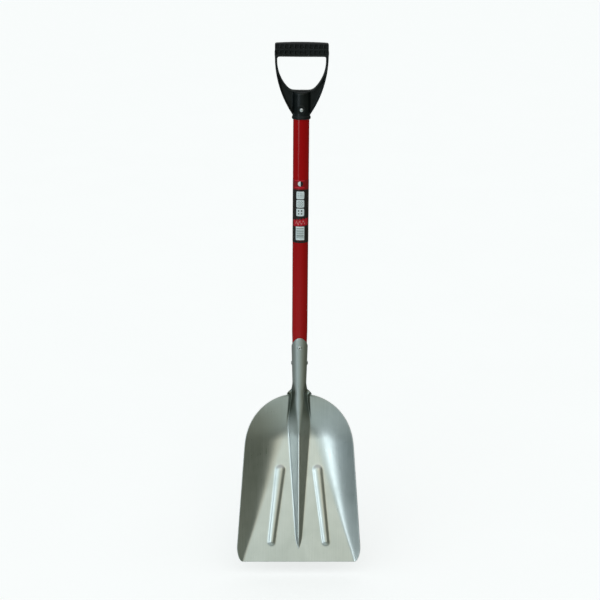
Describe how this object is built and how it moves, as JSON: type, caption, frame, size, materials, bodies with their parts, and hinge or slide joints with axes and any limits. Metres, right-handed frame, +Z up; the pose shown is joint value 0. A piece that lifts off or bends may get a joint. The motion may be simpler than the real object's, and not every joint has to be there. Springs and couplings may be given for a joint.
{
  "type": "grain scoop shovel",
  "caption": "Grain scoop shovel: a deep ribbed aluminium scoop with a rolled socket, riveted to a straight red tube shaft with a moulded D grip.",
  "frame": {"origin": "middle of the underside of the grip's hand bar, where the shovel hangs from a hook", "axes": "+Z up along the shaft's axis, towards the grip; -Y towards the open side of the scoop; +X to the right when the open side faces the viewer"},
  "size_m": [0.2868, 0.1123, 1.1841],
  "materials": {
    "sheet": "rolled satin sheet with fine lengthwise scratches",
    "shaft": "smooth glossy red coating",
    "grip": "satin black moulded plastic",
    "screw": "zinc plated",
    "rivet": "satin",
    "mandrel": "dull steel",
    "label": "printed gloss film"
  },
  "bodies": {
    "root": {"scoop_blade": "sheet", "shaft_tube": "shaft", "d_grip": "grip", "grip_screw": "screw", "socket_front_rivet": "rivet", "socket_side_rivets": "rivet", "rivet_mandrels": "mandrel", "shaft_label": "label"}
  },
  "joints": []
}
